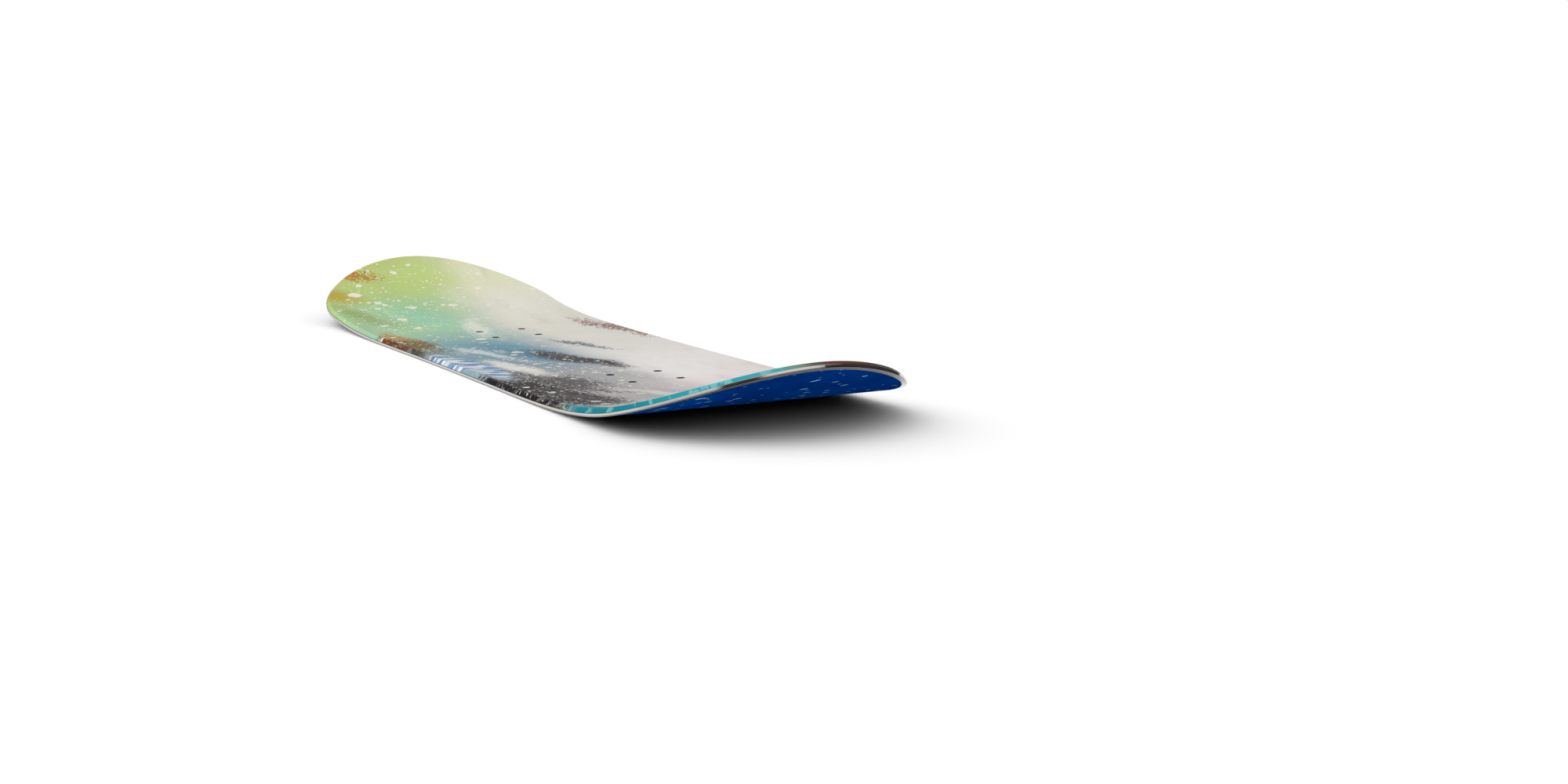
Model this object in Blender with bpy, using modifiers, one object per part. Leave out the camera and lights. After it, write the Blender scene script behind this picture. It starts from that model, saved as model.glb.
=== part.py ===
# Child's snowboard, a true twin without bindings, built layer by layer.
# Metres. +X runs along the board to the nose, +Y across it to the left, +Z up.
# The origin lies under the middle of the board, on the ground that the base rests on.
# Left and right are those of someone who stands on the board and faces the nose.

import math

import bmesh
import bpy
import numpy as np
from mathutils import Matrix, Vector

# Outline of the board, seen square on before the ends are pressed up
BOARD_LENGTH = 0.8372       # along the base, tip to tip
WIDEST = 0.222              # across the two widest points
SIDECUT = 0.0029            # how far each side is drawn in at the middle
WIDEST_AT = 0.304           # from the middle to a widest point, where a round end starts
END_FULLNESS = 1.94         # exponent of the round ends: 2 is an ellipse, more is squarer

# Side view: the base is flat in the middle, then curves up ever faster to each tip
FLAT_HALF = 0.078           # from the middle to where an end starts to rise
TIP_ANGLE = math.radians(33.3)
RISE_POWER = 3              # how late the rise comes: 1 is an even bend

# Layers, from the ground up, with a bond line between each two
BOND = 0.0003
BASE_THICK = 0.0009
LAMINATE_THICK = 0.0003
CORE_THICK = 0.0028
TOP_THICK = 0.0004

# Steel edge: a body that shows, and a flange that is bonded in above the base
EDGE_HEIGHT = 0.0026
EDGE_WIDTH = 0.0037
EDGE_CHAMFER = 0.0003
FLANGE_REACH = 0.0055
FLANGE_THICK = 0.0005
DAMPER_THICK = 0.0003

# The top sheet rolls over the rim as a cap
CAP_SLOPE_WIDTH = 0.0024    # how far the slope runs in, from its foot to the flat top
CAP_SETBACK = 0.0002        # from the steel's outer face in to the foot of the slope

# Layers that are laid in a middle length and two end lengths are joined past the inserts
JOINT_MARGIN = 0.0125       # from the last insert's flange to the joint

# Wood core and the spacers that close its ends
CORE_END = 0.300            # from the middle to where the wood stops
OUTER_STRIPS = 3            # light strips on each side of the two hardwood ones
HEART_MARGIN = 0.003        # wood left beside an insert's flange

# Threaded inserts, M6, four for each foot in a square
STANCE = 0.281              # between the middles of the two squares
PATTERN = 0.040             # side of each square
THREAD = 0.006
BARREL = 0.0084
INSERT_FLANGE = 0.014
INSERT_FLANGE_THICK = 0.0008
SCREW_HOLE = 0.0064         # through the top sheet

# How finely the curves are divided
FLAT_ROWS = 6
RISE_ROWS = 12
END_ROWS = 16
ROUND_SIDES = 24
SHARP_ANGLE = math.radians(30)
WELD = 0.00001

# Worked out from the sizes above
HALF_LENGTH = BOARD_LENGTH / 2
END_LENGTH = HALF_LENGTH - WIDEST_AT
LAMINATE_BOTTOM = BASE_THICK + BOND
CORE_BOTTOM = LAMINATE_BOTTOM + LAMINATE_THICK + BOND
CORE_TOP = CORE_BOTTOM + CORE_THICK
UPPER_BOTTOM = CORE_TOP + BOND
UPPER_TOP = UPPER_BOTTOM + LAMINATE_THICK
TOP_UNDERSIDE = UPPER_TOP + BOND
BOARD_THICK = TOP_UNDERSIDE + TOP_THICK
CAP_FOOT = EDGE_HEIGHT + BOND
SLOPE_HEIGHT = BOARD_THICK - CAP_FOOT
SLOPE_WALL = TOP_THICK * math.hypot(SLOPE_HEIGHT, CAP_SLOPE_WIDTH) / SLOPE_HEIGHT
FLANGE_BOTTOM = LAMINATE_BOTTOM
FLANGE_TOP = FLANGE_BOTTOM + FLANGE_THICK
DAMPER_BOTTOM = FLANGE_TOP + BOND
SIDEWALL_BOTTOM = DAMPER_BOTTOM + DAMPER_THICK + BOND
RIM_SEAT = EDGE_WIDTH + BOND
FLANGE_INNER = EDGE_WIDTH + FLANGE_REACH
CORE_INSET = FLANGE_INNER + BOND
HEART_WIDTH = PATTERN / 2 + INSERT_FLANGE / 2 + HEART_MARGIN
JOINT_AT = STANCE / 2 + PATTERN / 2 + INSERT_FLANGE / 2 + JOINT_MARGIN
SIDES = ((1, "left"), (-1, "right"))


# The press that the layers are shaped in

def rise_angle(along):
    """Slope of the base at a distance from the middle, measured along the base."""
    share = np.clip((along - FLAT_HALF) / (HALF_LENGTH - FLAT_HALF), 0, None)
    return TIP_ANGLE * share ** RISE_POWER


def press_curve(steps=2000):
    """Distances along the base, and where they lie in the side view."""
    along = np.linspace(0, HALF_LENGTH, steps + 1)
    middle_angles = rise_angle((along[1:] + along[:-1]) / 2)
    step = along[1] - along[0]
    forward = np.concatenate([[0], np.cumsum(np.cos(middle_angles)) * step])
    upward = np.concatenate([[0], np.cumsum(np.sin(middle_angles)) * step])
    return along, forward, upward


ALONG, FORWARD, UPWARD = press_curve()


def pressed(along, across, height):
    """The place in the finished board of a point of the flat lay-up."""
    end = math.copysign(1, along)
    angle = float(rise_angle(abs(along)))
    forward = float(np.interp(abs(along), ALONG, FORWARD)) - height * math.sin(angle)
    upward = float(np.interp(abs(along), ALONG, UPWARD)) + height * math.cos(angle)
    return Vector((end * forward, across, upward))


def press_frame(along, across):
    """Where a fitting stands on the base at that point, square to it."""
    lean = -math.copysign(float(rise_angle(abs(along))), along)
    return Matrix.Translation(pressed(along, across, 0)) @ Matrix.Rotation(lean, 4, "Y")


# The outline

def rim_point(station, inset=0):
    """A point of the left-hand outline, moved square to it by the inset: along, across."""
    end = math.copysign(1, station)
    along = abs(station)
    if along <= WIDEST_AT:
        draw_in = SIDECUT * (1 + math.cos(math.pi * along / WIDEST_AT)) / 2
        return station, WIDEST / 2 - draw_in - inset
    turn = math.pi / 2 * (along - WIDEST_AT) / END_LENGTH
    u = min(math.sin(turn), 1) ** (2 / END_FULLNESS)
    v = max(math.cos(turn), 0) ** (2 / END_FULLNESS)
    outward = Vector((u ** (END_FULLNESS - 1) / END_LENGTH,
                      v ** (END_FULLNESS - 1) / (WIDEST / 2))).normalized()
    along = WIDEST_AT + END_LENGTH * u - inset * outward.x
    return end * along, WIDEST / 2 * v - inset * outward.y


def stations(first=-HALF_LENGTH, last=HALF_LENGTH):
    """Stations along the outline, closer together where it turns."""
    flat = np.linspace(0, FLAT_HALF, FLAT_ROWS // 2 + 1)[1:]
    rise = np.linspace(FLAT_HALF, WIDEST_AT, RISE_ROWS + 1)[1:]
    end = np.linspace(WIDEST_AT, HALF_LENGTH, END_ROWS + 1)[1:]
    half = np.concatenate([flat, rise, end])
    whole = np.concatenate([-half[::-1], [0], half])
    inside = whole[(whole > first + WELD) & (whole < last - WELD)]
    return [first, *inside.tolist(), last]


def three_lengths(end=HALF_LENGTH):
    """Name, first and last station of the lengths that a layer is laid in, up to its ends."""
    return (
        ("tail", -end, -JOINT_AT - BOND),
        ("middle", -JOINT_AT, JOINT_AT),
        ("nose", JOINT_AT + BOND, end),
    )


# Mesh and object helpers

def new_material(name, colour, roughness, metallic=0.0):
    material = bpy.data.materials.new(name)
    material.use_nodes = True
    shader = material.node_tree.nodes["Principled BSDF"]
    shader.inputs["Base Color"].default_value = (*colour, 1)
    shader.inputs["Roughness"].default_value = roughness
    shader.inputs["Metallic"].default_value = metallic
    return material


def new_collection(name):
    collection = bpy.data.collections.new(name)
    bpy.context.scene.collection.children.link(collection)
    return collection


def add_object(name, mesh, collection, material=None):
    obj = bpy.data.objects.new(name, mesh)
    collection.objects.link(obj)
    if material:
        mesh.materials.append(material)
    mesh.shade_smooth()
    mesh.set_sharp_from_angle(angle=SHARP_ANGLE)
    return obj


def shaped_grid(name, rows, columns, place):
    """A grid rolled into a closed form: place(row, column) gives each corner of its skin.

    The last column meets the first again. An end row whose corners don't meet is
    filled with one flat face.
    """
    bm = bmesh.new()
    bmesh.ops.create_grid(bm, x_segments=rows - 1, y_segments=columns, size=1)
    for vert in bm.verts:
        row = round((vert.co.x + 1) / 2 * (rows - 1))
        column = round((vert.co.y + 1) / 2 * columns)
        vert.co = place(row, column % columns)
    bmesh.ops.remove_doubles(bm, verts=bm.verts, dist=WELD)
    bmesh.ops.holes_fill(bm, edges=[edge for edge in bm.edges if edge.is_boundary])
    bmesh.ops.recalc_face_normals(bm, faces=bm.faces)
    mesh = bpy.data.meshes.new(name)
    bm.to_mesh(mesh)
    bm.free()
    return mesh


def full_width_layer(name, half_section, rows):
    """A layer that reaches across the board.

    half_section lists (inset, height) from the top of the layer, out round its rim and
    back to its underside.
    """
    count = len(half_section)

    def place(row, column):
        right = column >= count
        inset, height = half_section[2 * count - 1 - column if right else column]
        along, across = rim_point(rows[row], inset)
        return pressed(along, -across if right else across, height)

    return shaped_grid(name, len(rows), 2 * count, place)


def rim_strip(name, side, section, rows):
    """A strip that follows the rim on one side, no further than the middle of a tip."""

    def place(row, column):
        inset, height = section[column]
        along, across = rim_point(rows[row], inset)
        return pressed(along, side * max(across, BOND / 2), height)

    return shaped_grid(name, len(rows), len(section), place)


def lengthwise_strip(name, side, inner, outer, rows):
    """A core strip between two distances from the middle line; no outer one means the rim."""
    heights = (CORE_BOTTOM, CORE_TOP)

    def place(row, column):
        along, rim = rim_point(rows[row], CORE_INSET)
        across = inner if column in (0, 3) else (outer or rim)
        return pressed(along, side * across, heights[column // 2])

    return shaped_grid(name, len(rows), 4, place)


def turning_profile(name, profile):
    """A closed profile of (radius, height) points, listed down its outer side."""
    mesh = bpy.data.meshes.new(name)
    bm = bmesh.new()
    verts = [bm.verts.new((radius, 0, height)) for radius, height in profile]
    for vert, following in zip(verts, verts[1:] + verts[:1]):
        bm.edges.new((vert, following))
    bm.to_mesh(mesh)
    bm.free()
    return mesh


def spin(obj):
    """Turns the object's profile about its Z axis."""
    screw = obj.modifiers.new("Turned", "SCREW")
    screw.steps = ROUND_SIDES
    screw.render_steps = ROUND_SIDES
    screw.use_merge_vertices = True
    screw.merge_threshold = WELD
    screw.use_smooth_shade = True


def cut_with(obj, cutters):
    cut = obj.modifiers.new("Holes", "BOOLEAN")
    cut.operation = "DIFFERENCE"
    cut.operand_type = "COLLECTION"
    cut.collection = cutters
    cut.solver = "EXACT"


# The pieces

def make_base(parts, material):
    section = [(RIM_SEAT, BASE_THICK), (RIM_SEAT, 0)]
    for length_name, first, last in three_lengths():
        name = f"base_sheet_{length_name}"
        add_object(name, full_width_layer(name, section, stations(first, last)), parts, material)


def make_edge(parts, material, side, side_name):
    section = [
        (0, 0),
        (0, EDGE_HEIGHT - EDGE_CHAMFER),
        (EDGE_CHAMFER, EDGE_HEIGHT),
        (EDGE_WIDTH, EDGE_HEIGHT),
        (EDGE_WIDTH, FLANGE_TOP),
        (FLANGE_INNER, FLANGE_TOP),
        (FLANGE_INNER, FLANGE_BOTTOM),
        (EDGE_WIDTH, FLANGE_BOTTOM),
        (EDGE_WIDTH, 0),
    ]
    for length_name, first, last in three_lengths():
        name = f"steel_edge_{side_name}_{length_name}"
        add_object(name, rim_strip(name, side, section, stations(first, last)), parts, material)


def box_section(outer, inner, bottom, top):
    return [(outer, bottom), (outer, top), (inner, top), (inner, bottom)]


def make_damper(parts, material, side, side_name):
    section = box_section(RIM_SEAT, FLANGE_INNER, DAMPER_BOTTOM, DAMPER_BOTTOM + DAMPER_THICK)
    name = f"edge_damping_strip_{side_name}"
    add_object(name, rim_strip(name, side, section, stations()), parts, material)


def cap_lining(height):
    """How far in a layer starts that lies against the slope of the cap at that height."""
    return CAP_SETBACK + SLOPE_WALL + CAP_SLOPE_WIDTH * (height - CAP_FOOT) / SLOPE_HEIGHT + BOND


def make_sidewall(parts, material, side, side_name):
    """The strip that stands on the flange and reaches out over the steel, under the cap."""
    section = [
        (RIM_SEAT, SIDEWALL_BOTTOM),
        (RIM_SEAT, CAP_FOOT),
        (cap_lining(CAP_FOOT), CAP_FOOT),
        (cap_lining(CORE_TOP), CORE_TOP),
        (FLANGE_INNER, CORE_TOP),
        (FLANGE_INNER, SIDEWALL_BOTTOM),
    ]
    for length_name, first, last in three_lengths():
        name = f"sidewall_{side_name}_{length_name}"
        add_object(name, rim_strip(name, side, section, stations(first, last)), parts, material)


def make_laminates(parts, material, seat_cutters):
    lower = [(CORE_INSET, LAMINATE_BOTTOM + LAMINATE_THICK), (CORE_INSET, LAMINATE_BOTTOM)]
    upper = [(cap_lining(UPPER_TOP), UPPER_TOP), (cap_lining(UPPER_TOP), UPPER_BOTTOM)]
    mesh = full_width_layer("lower_laminate", lower, stations())
    add_object("lower_laminate", mesh, parts, material)
    mesh = full_width_layer("upper_laminate", upper, stations())
    cut_with(add_object("upper_laminate", mesh, parts, material), seat_cutters)


def heart_lengths():
    """Name, first and last station of a hardwood strip's lengths: one insert in each but the ends."""
    names = ("tail", "tail_foot_rear", "tail_foot_front", "nose_foot_rear", "nose_foot_front", "nose")
    end = CORE_END + BOND / 2
    joints = (-end, -JOINT_AT, -STANCE / 2, 0, STANCE / 2, JOINT_AT, end)
    for name, first, last in zip(names, joints, joints[1:]):
        yield name, first + BOND / 2, last - BOND / 2


def make_heart_strips(parts, material, seat_cutters):
    """The two hardwood strips beside the middle line, which hold the inserts."""
    for side, side_name in SIDES:
        for length_name, first, last in heart_lengths():
            name = f"core_heart_strip_{side_name}_{length_name}"
            rows = stations(first, last)
            mesh = lengthwise_strip(name, side, BOND / 2, HEART_WIDTH - BOND / 2, rows)
            cut_with(add_object(name, mesh, parts, material), seat_cutters)


def make_light_strips(parts, material):
    """The lighter strips outside the hardwood ones; the outermost follow the rim."""
    narrowest = WIDEST / 2 - SIDECUT - CORE_INSET
    pitch = (narrowest - HEART_WIDTH) / OUTER_STRIPS
    for side, side_name in SIDES:
        for number in range(OUTER_STRIPS):
            inner = HEART_WIDTH + number * pitch + BOND / 2
            outermost = number == OUTER_STRIPS - 1
            outer = None if outermost else inner + pitch - BOND
            for length_name, first, last in three_lengths(CORE_END):
                name = f"core_strip_{side_name}_{number + 1}_{length_name}"
                mesh = lengthwise_strip(name, side, inner, outer, stations(first, last))
                add_object(name, mesh, parts, material)


def make_spacers(parts, material):
    section = [(CORE_INSET, CORE_TOP), (CORE_INSET, CORE_BOTTOM)]
    start = CORE_END + BOND
    nose = full_width_layer("nose_spacer", section, stations(start, HALF_LENGTH))
    tail = full_width_layer("tail_spacer", section, stations(-HALF_LENGTH, -start))
    add_object("nose_spacer", nose, parts, material)
    add_object("tail_spacer", tail, parts, material)


def make_top_sheet(parts, material, hole_cutters):
    section = [
        (CAP_SETBACK + CAP_SLOPE_WIDTH, BOARD_THICK),
        (CAP_SETBACK, CAP_FOOT),
        (CAP_SETBACK + SLOPE_WALL, CAP_FOOT),
        (cap_lining(TOP_UNDERSIDE) - BOND, TOP_UNDERSIDE),
    ]
    mesh = full_width_layer("top_sheet", section, stations())
    cut_with(add_object("top_sheet", mesh, parts, material), hole_cutters)


def insert_places():
    """Name, along and across of each threaded insert."""
    for end, end_name in ((1, "nose"), (-1, "tail")):
        for row, row_name in ((1, "front"), (-1, "rear")):
            for side, side_name in SIDES:
                along = end * STANCE / 2 + row * PATTERN / 2
                name = f"insert_{end_name}_foot_{row_name}_{side_name}"
                yield name, along, side * PATTERN / 2


def make_inserts(parts, material):
    flange_top = CORE_BOTTOM + INSERT_FLANGE_THICK
    profile = [
        (BARREL / 2, UPPER_TOP),
        (BARREL / 2, flange_top),
        (INSERT_FLANGE / 2, flange_top),
        (INSERT_FLANGE / 2, CORE_BOTTOM),
        (THREAD / 2, CORE_BOTTOM),
        (THREAD / 2, UPPER_TOP),
    ]
    for name, along, across in insert_places():
        insert = add_object(name, turning_profile(name, profile), parts, material)
        insert.matrix_world = press_frame(along, across)
        spin(insert)


def make_cutters(cutters, name, profile):
    """One turned cutter for each insert, in a collection of its own."""
    group = bpy.data.collections.new(name)
    cutters.children.link(group)
    for insert_name, along, across in insert_places():
        cutter_name = f"{name}_{insert_name}"
        cutter = add_object(cutter_name, turning_profile(cutter_name, profile), group)
        cutter.matrix_world = press_frame(along, across)
        spin(cutter)
        cutter.hide_render = True
        cutter.display_type = "WIRE"
    return group


def make_seat_cutters(cutters):
    """Room for an insert's barrel and flange, through the core and the upper laminate."""
    barrel = BARREL / 2 + BOND
    flange = INSERT_FLANGE / 2 + BOND
    flange_top = CORE_BOTTOM + INSERT_FLANGE_THICK + BOND
    profile = [
        (0, BOARD_THICK),
        (barrel, BOARD_THICK),
        (barrel, flange_top),
        (flange, flange_top),
        (flange, 0),
        (0, 0),
    ]
    return make_cutters(cutters, "seat", profile)


def make_hole_cutters(cutters):
    """The screw holes in the top sheet."""
    top = BOARD_THICK + TOP_THICK
    bottom = UPPER_TOP
    profile = [(0, top), (SCREW_HOLE / 2, top), (SCREW_HOLE / 2, bottom), (0, bottom)]
    return make_cutters(cutters, "screw_hole", profile)


def make_snowboard():
    parts = new_collection("Snowboard")
    cutters = new_collection("Cutters")
    seat_cutters = make_seat_cutters(cutters)
    hole_cutters = make_hole_cutters(cutters)

    blue_base = new_material("blue_polyethylene", (0.005, 0.03, 0.2), 0.35)
    steel = new_material("polished_edge_steel", (0.62, 0.63, 0.65), 0.22, 1.0)
    rubber = new_material("black_rubber", (0.02, 0.02, 0.02), 0.8)
    glass = new_material("glass_fibre_laminate", (0.62, 0.66, 0.5), 0.45)
    plastic = new_material("grey_spacer_plastic", (0.2, 0.2, 0.21), 0.5)
    beech = new_material("beech", (0.55, 0.36, 0.2), 0.6)
    poplar = new_material("poplar", (0.72, 0.6, 0.4), 0.65)
    zinc = new_material("plated_insert_steel", (0.5, 0.5, 0.48), 0.35, 1.0)
    print_film = new_material("printed_top_film", (0.5, 0.52, 0.42), 0.15)

    make_base(parts, blue_base)
    for side, side_name in SIDES:
        make_edge(parts, steel, side, side_name)
        make_damper(parts, rubber, side, side_name)
        make_sidewall(parts, plastic, side, side_name)
    make_laminates(parts, glass, seat_cutters)
    make_heart_strips(parts, beech, seat_cutters)
    make_light_strips(parts, poplar)
    make_spacers(parts, plastic)
    make_inserts(parts, zinc)
    make_top_sheet(parts, print_film, hole_cutters)


for old_object in list(bpy.data.objects):
    bpy.data.objects.remove(old_object, do_unlink=True)
make_snowboard()
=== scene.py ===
# The looks of a child's snowboard: printed cap, steel edge, blue base and threaded inserts.
# Metres. +X runs to the nose, +Y to the left of someone who faces the nose, +Z up.

import math

import bpy
import numpy as np
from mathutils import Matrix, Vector


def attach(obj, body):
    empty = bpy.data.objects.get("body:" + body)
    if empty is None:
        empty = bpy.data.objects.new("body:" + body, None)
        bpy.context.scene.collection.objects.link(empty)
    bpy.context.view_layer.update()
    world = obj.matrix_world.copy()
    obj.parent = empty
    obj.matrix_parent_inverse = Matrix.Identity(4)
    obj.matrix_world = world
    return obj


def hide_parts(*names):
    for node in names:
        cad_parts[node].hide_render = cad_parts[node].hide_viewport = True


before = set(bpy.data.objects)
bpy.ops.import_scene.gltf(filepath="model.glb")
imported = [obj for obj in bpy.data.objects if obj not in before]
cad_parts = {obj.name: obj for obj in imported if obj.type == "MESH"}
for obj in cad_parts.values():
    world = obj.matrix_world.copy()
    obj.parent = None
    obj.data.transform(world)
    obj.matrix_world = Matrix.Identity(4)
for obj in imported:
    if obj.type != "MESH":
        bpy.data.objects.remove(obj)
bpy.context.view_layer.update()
print("frame loaded:", len(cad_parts), "nodes")


# The shape that every layer of the board follows, the same as the model's own

board = {
    "length": 0.8372,                     # along the base, tip to tip
    "widest": 0.222,
    "sidecut": 0.0029,                    # how far each side is drawn in at the middle
    "widestAt": 0.304,                    # from the middle to where a round end starts
    "endFullness": 1.94,
    "flatHalf": 0.078,                    # from the middle to where the base starts to rise
    "tipAngle": math.radians(33.3),
    "risePower": 3,
    "thick": 0.0059,
    "rows": 340,                          # how finely a layer is divided along its length
    "pressSteps": 2000,
    "weld": 0.000005,
}
halfLength = board["length"] / 2
endLength = halfLength - board["widestAt"]


def riseAngle(along):
    share = (np.abs(along) - board["flatHalf"]) / (halfLength - board["flatHalf"])
    return board["tipAngle"] * np.clip(share, 0, None) ** board["risePower"]


pressAlong = np.linspace(0, halfLength, board["pressSteps"] + 1)
pressAngle = riseAngle((pressAlong[1:] + pressAlong[:-1]) / 2)
pressForward = np.concatenate([[0], np.cumsum(np.cos(pressAngle)) * pressAlong[1]])
pressUpward = np.concatenate([[0], np.cumsum(np.sin(pressAngle)) * pressAlong[1]])


def pressed(along, across, height):
    # where a point of the flat lay-up ends after the ends are pressed up
    angle = float(riseAngle(along))
    forward = float(np.interp(abs(along), pressAlong, pressForward)) - height * math.sin(angle)
    upward = float(np.interp(abs(along), pressAlong, pressUpward)) + height * math.cos(angle)
    return Vector((math.copysign(forward, along), across, upward))


def standOn(piece, along, across):
    # takes a piece that was made at the origin to its place on the pressed base, square to it
    piece.location = pressed(along, across, 0)
    piece.rotation_euler = (0, -math.copysign(float(riseAngle(along)), along), 0)
    pick(piece)
    bpy.ops.object.transform_apply(location=True, rotation=True, scale=True)


def rimPoint(station, inset):
    # a point of the left-hand outline, moved square to it by the inset
    along = abs(station)
    if along <= board["widestAt"]:
        drawIn = board["sidecut"] * (1 + math.cos(math.pi * along / board["widestAt"])) / 2
        return station, board["widest"] / 2 - drawIn - inset
    turn = math.pi / 2 * (along - board["widestAt"]) / endLength
    u = min(math.sin(turn), 1) ** (2 / board["endFullness"])
    v = max(math.cos(turn), 0) ** (2 / board["endFullness"])
    outward = Vector((u ** (board["endFullness"] - 1) / endLength,
                      v ** (board["endFullness"] - 1) / (board["widest"] / 2))).normalized()
    along = board["widestAt"] + endLength * u - inset * outward.x
    return math.copysign(along, station), board["widest"] / 2 * v - inset * outward.y


def roundedSection(corners, steps=5):
    # corners are (inset, height, radius); a corner with a radius becomes an arc
    section = []
    for index, (inset, height, radius) in enumerate(corners):
        corner = Vector((inset, height))
        if radius == 0:
            section.append(tuple(corner))
            continue
        before = (Vector(corners[index - 1][:2]) - corner).normalized()
        after = (Vector(corners[(index + 1) % len(corners)][:2]) - corner).normalized()
        half = before.angle(after) / 2
        centre = corner + (before + after).normalized() * radius / math.sin(half)
        start = (corner + before * radius / math.tan(half) - centre).normalized()
        end = (corner + after * radius / math.tan(half) - centre).normalized()
        for step in range(steps + 1):
            section.append(tuple(centre + start.slerp(end, step / steps) * radius))
    return section


# Bench helpers

def clearSelection():
    if bpy.context.object and bpy.context.object.mode != "OBJECT":
        bpy.ops.object.mode_set(mode="OBJECT")
    bpy.ops.object.select_all(action="DESELECT")


def pick(piece):
    clearSelection()
    piece.select_set(True)
    bpy.context.view_layer.objects.active = piece


def applyModifier(piece, kind, name, **settings):
    pick(piece)
    modifier = piece.modifiers.new(name, kind)
    for key, value in settings.items():
        setattr(modifier, key, value)
    bpy.ops.object.modifier_apply(modifier=modifier.name)


def tidyMesh(piece, closeEnds=False):
    pick(piece)
    bpy.ops.object.mode_set(mode="EDIT")
    bpy.ops.mesh.select_all(action="SELECT")
    bpy.ops.mesh.remove_doubles(threshold=board["weld"])
    if closeEnds:
        bpy.ops.mesh.select_all(action="SELECT")
        bpy.ops.mesh.fill_holes(sides=0)
        bpy.ops.mesh.select_all(action="SELECT")
        bpy.ops.mesh.normals_make_consistent(inside=False)
    bpy.ops.object.mode_set(mode="OBJECT")


def layGrid(name, columns, place):
    # a grid as long as the board, whose lines are laid along the rim, column by column
    clearSelection()
    bpy.ops.mesh.primitive_grid_add(
        x_subdivisions=board["rows"], y_subdivisions=columns - 1, size=board["length"])
    layer = bpy.context.object
    layer.name = name
    layer.data.name = name
    for vertex in layer.data.vertices:
        column = round((vertex.co.y / board["length"] + 0.5) * (columns - 1))
        vertex.co = place(vertex.co.x, column)
    return layer


def layWide(name, section, cuts, underside=False):
    # a skin that runs from rim to rim; the section is listed from the rim inwards
    rightHalf = [(inset, height, -1) for inset, height in section]
    middle = [(*section[-1], 2 * cut / cuts - 1) for cut in range(1, cuts)]
    leftHalf = [(inset, height, 1) for inset, height in reversed(section)]
    columns = rightHalf + middle + leftHalf
    if underside:
        columns = columns[::-1]

    def place(station, column):
        inset, height, share = columns[column]
        along, across = rimPoint(station, inset)
        return pressed(along, share * across, height)

    return layGrid(name, len(columns), place)


def finishPiece(piece, material, start):
    # the piece stands for each node whose name begins that way
    nodes = [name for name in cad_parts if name.startswith(start)]
    piece.data.materials.clear()
    piece.data.materials.append(material)
    pick(piece)
    bpy.ops.object.shade_smooth_by_angle(angle=math.radians(30))
    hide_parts(*nodes)
    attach(piece, "root")


# Shader helpers

def tint(code):
    # a colour written as on a paint chip, in the linear values that a shader takes
    parts = [int(code[start:start + 2], 16) / 255 for start in (1, 3, 5)]
    linear = [part / 12.92 if part <= 0.04045 else ((part + 0.055) / 1.055) ** 2.4 for part in parts]
    return (*linear, 1)


def addNode(tree, kind, inputs=None, **settings):
    node = tree.nodes.new(kind)
    for key, value in settings.items():
        setattr(node, key, value)
    for socket, value in (inputs or {}).items():
        if isinstance(value, bpy.types.NodeSocket):
            tree.links.new(value, node.inputs[socket])
        else:
            node.inputs[socket].default_value = value
    return node


def calc(tree, operation, first, second=0.0):
    return addNode(tree, "ShaderNodeMath", {0: first, 1: second}, operation=operation).outputs[0]


def vectorCalc(tree, operation, first, second):
    inputs = {0: first, 1: second}
    return addNode(tree, "ShaderNodeVectorMath", inputs, operation=operation).outputs[0]


def scaleVector(tree, vector, factor):
    return addNode(tree, "ShaderNodeVectorMath", {0: vector, 3: factor}, operation="SCALE").outputs[0]


def turnPlace(tree, place, angle):
    inputs = {"Vector": place, "Angle": angle}
    return addNode(tree, "ShaderNodeVectorRotate", inputs, rotation_type="Z_AXIS").outputs[0]


def axesOf(tree, vector):
    return addNode(tree, "ShaderNodeSeparateXYZ", {0: vector}).outputs


def fade(tree, value, start, end, low=0.0, high=1.0):
    inputs = {"Value": value, "From Min": start, "From Max": end, "To Min": low, "To Max": high}
    node = addNode(tree, "ShaderNodeMapRange", inputs, interpolation_type="SMOOTHSTEP")
    return node.outputs["Result"]


def blendColour(tree, factor, under, over):
    inputs = {0: factor, 6: under, 7: over}
    return addNode(tree, "ShaderNodeMix", inputs, data_type="RGBA").outputs[2]


def noise(tree, vector, scale, detail=2.0, roughness=0.5, distortion=0.0):
    inputs = {"Vector": vector, "Scale": scale, "Detail": detail, "Roughness": roughness,
              "Distortion": distortion}
    return addNode(tree, "ShaderNodeTexNoise", inputs).outputs[0]


def ramp(tree, value, stops):
    node = addNode(tree, "ShaderNodeValToRGB", {"Fac": value})
    band = node.color_ramp
    band.interpolation = "EASE"
    while len(band.elements) < len(stops):
        band.elements.new(0.5)
    for element, (position, code) in zip(band.elements, stops):
        element.position = position
        element.color = tint(code)
    return node.outputs["Color"]


def newGroup(name, inputs, outputs):
    # inputs are name: (kind, start value); outputs are name: kind
    group = bpy.data.node_groups.new(name, "ShaderNodeTree")
    for label, (kind, value) in inputs.items():
        socket = group.interface.new_socket(label, in_out="INPUT", socket_type=f"NodeSocket{kind}")
        if value is not None:
            socket.default_value = value
    for label, kind in outputs.items():
        group.interface.new_socket(label, in_out="OUTPUT", socket_type=f"NodeSocket{kind}")
    return group, group.nodes.new("NodeGroupInput").outputs, group.nodes.new("NodeGroupOutput").inputs


def useGroup(tree, group, inputs):
    node = addNode(tree, "ShaderNodeGroup", node_tree=group)
    for socket, value in inputs.items():
        if isinstance(value, bpy.types.NodeSocket):
            tree.links.new(value, node.inputs[socket])
        else:
            node.inputs[socket].default_value = value
    return node


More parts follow.
